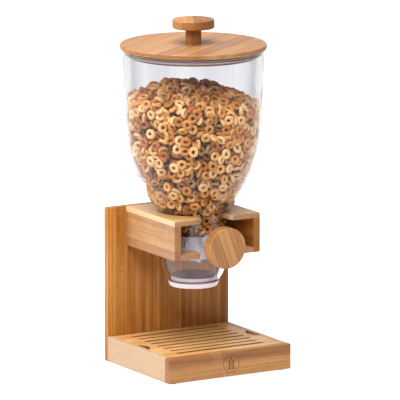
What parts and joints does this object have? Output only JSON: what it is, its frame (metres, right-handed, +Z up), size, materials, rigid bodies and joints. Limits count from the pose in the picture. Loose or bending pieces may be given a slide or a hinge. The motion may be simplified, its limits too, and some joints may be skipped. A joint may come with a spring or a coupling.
{
  "type": "cereal dispenser",
  "caption": "Free-standing cereal dispenser: clear tapered hopper with a dial-turned paddle valve in a bamboo stand with a slatted grate base.",
  "frame": {"origin": "on the surface the dispenser stands on, straight below the hopper's axis", "axes": "+Z up along the hopper's axis, +X to the right, -Y towards the front where the dial is"},
  "size_m": [0.181, 0.181, 0.4345],
  "materials": {
    "bamboo": "satin clear-coated bamboo",
    "clear_plastic": "clear gloss moulded plastic",
    "frosted_plastic": "frosted translucent",
    "white_plastic": "satin",
    "silicone": "translucent matte silicone",
    "steel": "zinc-plated",
    "brass": "machined",
    "rubber": "matte"
  },
  "bodies": {
    "stand": {"base_front_rail": "bamboo", "base_left_rail": "bamboo", "base_right_rail": "bamboo", "base_rear_rail": "bamboo", "base_floor": "bamboo", "grate_ledges": "bamboo", "foot_pads": "rubber", "back_board": "bamboo", "holder_top_panel": "bamboo", "holder_bottom_panel": "bamboo", "holder_left_panel": "bamboo", "holder_right_panel": "bamboo", "holder_screws": "steel", "base_screws": "steel"},
    "grate": {"slatted_grate": "bamboo"},
    "canister": {"hopper": "clear_plastic", "valve_housing": "clear_plastic", "funnel_liner": "frosted_plastic", "front_bush": "white_plastic", "rear_bush": "white_plastic"},
    "dial": {"dial_knob": "bamboo", "dial_insert": "brass", "dial_collar": "white_plastic", "drive_shaft": "steel", "paddle_hub": "white_plastic", "paddle_vanes": "silicone"},
    "cap": {"outlet_cap": "silicone"},
    "lid": {"lid_disc": "bamboo", "lid_plug": "bamboo", "lid_seal": "silicone", "lid_knob_stem": "bamboo", "lid_knob_head": "bamboo", "lid_screw": "steel"}
  },
  "joints": [
    {"name": "grate_lift", "type": "slide", "parent": "stand", "child": "grate", "axis": [0, 0, 1], "range_m": [0, 0.03]},
    {"name": "canister_lift", "type": "slide", "parent": "stand", "child": "canister", "axis": [0, 0, 1], "range_m": [0, 0.1]},
    {"name": "lid_lift", "type": "slide", "parent": "canister", "child": "lid", "axis": [0, 0, 1], "range_m": [0, 0.04]},
    {"name": "dial_turn", "type": "hinge", "parent": "canister", "child": "dial", "pos_m": [0, 0, 0.161], "axis": [0, -1, 0], "continuous": true},
    {"name": "cap_pull", "type": "slide", "parent": "canister", "child": "cap", "axis": [0, 0, -1], "range_m": [0, 0.025]}
  ]
}
